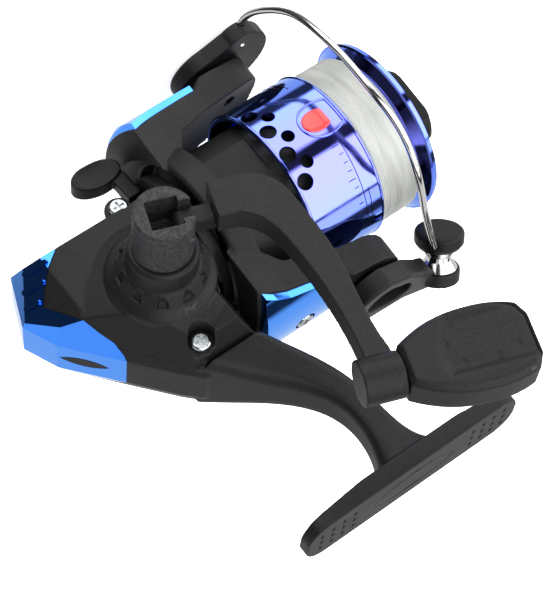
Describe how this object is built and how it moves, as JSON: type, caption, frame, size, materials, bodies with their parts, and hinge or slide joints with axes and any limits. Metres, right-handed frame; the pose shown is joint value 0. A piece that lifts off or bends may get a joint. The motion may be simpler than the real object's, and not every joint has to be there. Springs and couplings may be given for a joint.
{
  "type": "spinning reel",
  "caption": "Front-drag spinning reel with skirted spool, rotor and bail, geared crank and folding handle, on a rod foot.",
  "frame": {"origin": "middle of the flat face of the rod foot", "axes": "+X forward along the spool shaft, +Y to the handle side, +Z out of the foot's flat face towards the rod"},
  "size_m": [0.1094, 0.0726, 0.1222],
  "materials": {
    "black_plastic": "satin moulded",
    "black_cap": "matte moulded",
    "blue_chrome": "tinted plating",
    "steel": "polished",
    "zinc": "zinc plated",
    "brass": "machined",
    "gear_zinc": "die cast",
    "nylon": "moulded nylon",
    "felt": "felt",
    "line": "monofilament"
  },
  "bodies": {
    "housing": {"body_frame": "black_plastic", "side_cover": "black_plastic", "rear_cap": "blue_chrome", "rear_cap_inset": "black_cap", "cover_screws": "zinc", "drive_bush_near": "brass", "drive_bush_far": "brass", "far_side_cap": "black_cap", "bearing_outer_race": "steel", "bearing_plate": "steel", "bearing_plate_screws": "zinc"},
    "ball_set": {"bearing_balls": "steel"},
    "crank": {"drive_gear": "gear_zinc", "crank_hub": "black_plastic", "fold_pin": "steel"},
    "oscillation": {"oscillation_gear": "nylon"},
    "rotor": {"rotor": "black_plastic", "pinion_gear": "brass", "ratchet_wheel": "steel", "bearing_inner_race": "steel", "rotor_nut": "brass", "rotor_washer": "steel", "rotor_arm_covers": "blue_chrome", "arm_cover_screws": "zinc", "bail_pivot_screws": "zinc", "bail_spring": "steel"},
    "bail": {"bail_arm": "black_plastic", "bail_holder": "black_plastic", "bail_wire": "steel", "roller_cap": "black_cap", "roller_axle": "steel"},
    "roller": {"line_roller": "steel"},
    "bail_trip": {"bail_trip_lever": "nylon"},
    "anti_reverse": {"anti_reverse_lever": "black_cap", "anti_reverse_pawl": "steel"},
    "spool_shaft": {"main_shaft": "steel", "oscillation_slider": "nylon", "slider_screw": "zinc", "spool_seat_washer": "nylon", "drag_washers_metal": "steel", "drag_spring": "steel"},
    "spool": {"spool": "blue_chrome", "fishing_line": "line", "click_wheel": "nylon", "drag_washers_felt": "felt", "drag_retainer": "steel"},
    "drag_knob": {"drag_knob": "black_cap", "drag_nut": "brass"},
    "handle": {"handle_arm": "black_plastic", "grip_spindle": "steel"},
    "grip": {"handle_grip": "black_plastic"}
  },
  "joints": [
    {"name": "drive_spin", "type": "hinge", "parent": "housing", "child": "crank", "pos_m": [-0.0205, 0, -0.0651], "axis": [0, 1, 0], "continuous": true},
    {"name": "rotor_spin", "type": "hinge", "parent": "housing", "child": "rotor", "pos_m": [0.0019, 0, -0.076], "axis": [1, 0, 0], "continuous": true},
    {"name": "ball_orbit", "type": "hinge", "parent": "housing", "child": "ball_set", "pos_m": [-0.0039, 0, -0.076], "axis": [1, 0, 0], "continuous": true},
    {"name": "oscillation_spin", "type": "hinge", "parent": "housing", "child": "oscillation", "pos_m": [-0.0311, -0.003, -0.0705], "axis": [0, 1, 0], "continuous": true},
    {"name": "anti_reverse_turn", "type": "hinge", "parent": "housing", "child": "anti_reverse", "pos_m": [-0.0081, 0.007, -0.0902], "axis": [1, 0, 0], "range_deg": [0, 25]},
    {"name": "spool_stroke", "type": "slide", "parent": "housing", "child": "spool_shaft", "axis": [1, 0, 0], "range_m": [-0.009, 0]},
    {"name": "spool_drag_spin", "type": "hinge", "parent": "spool_shaft", "child": "spool", "pos_m": [0.0419, 0, -0.076], "axis": [1, 0, 0], "continuous": true},
    {"name": "drag_knob_turn", "type": "hinge", "parent": "spool_shaft", "child": "drag_knob", "pos_m": [0.0559, 0, -0.076], "axis": [1, 0, 0], "range_deg": [-360, 360]},
    {"name": "bail_flip", "type": "hinge", "parent": "rotor", "child": "bail", "pos_m": [0.0249, 0, -0.076], "axis": [0, 0.1392, -0.9903], "range_deg": [0, 100]},
    {"name": "line_roller_spin", "type": "hinge", "parent": "bail", "child": "roller", "pos_m": [0.0468, -0.01305, -0.04491], "axis": [0.2648, 0.8572, -0.4416], "continuous": true},
    {"name": "bail_trip_slide", "type": "slide", "parent": "rotor", "child": "bail_trip", "axis": [1, 0, 0], "range_m": [-0.0022, 0.0001]},
    {"name": "handle_fold", "type": "hinge", "parent": "crank", "child": "handle", "pos_m": [-0.01637, 0.0364, -0.06359], "axis": [-0.342, 0, 0.9397], "range_deg": [0, 90]},
    {"name": "grip_spin", "type": "hinge", "parent": "handle", "child": "grip", "pos_m": [0.00482, 0.0446, -0.0031], "axis": [0.9397, 0, 0.342], "continuous": true}
  ],
  "couplings": [
    {"joint": "rotor_spin", "follows": "drive_spin", "ratio": -4.7143},
    {"joint": "ball_orbit", "follows": "drive_spin", "ratio": -1.8621},
    {"joint": "oscillation_spin", "follows": "drive_spin", "ratio": -0.5},
    {"joint": "bail_trip_slide", "follows": "bail_flip", "m_per_rad": -0.0011}
  ]
}
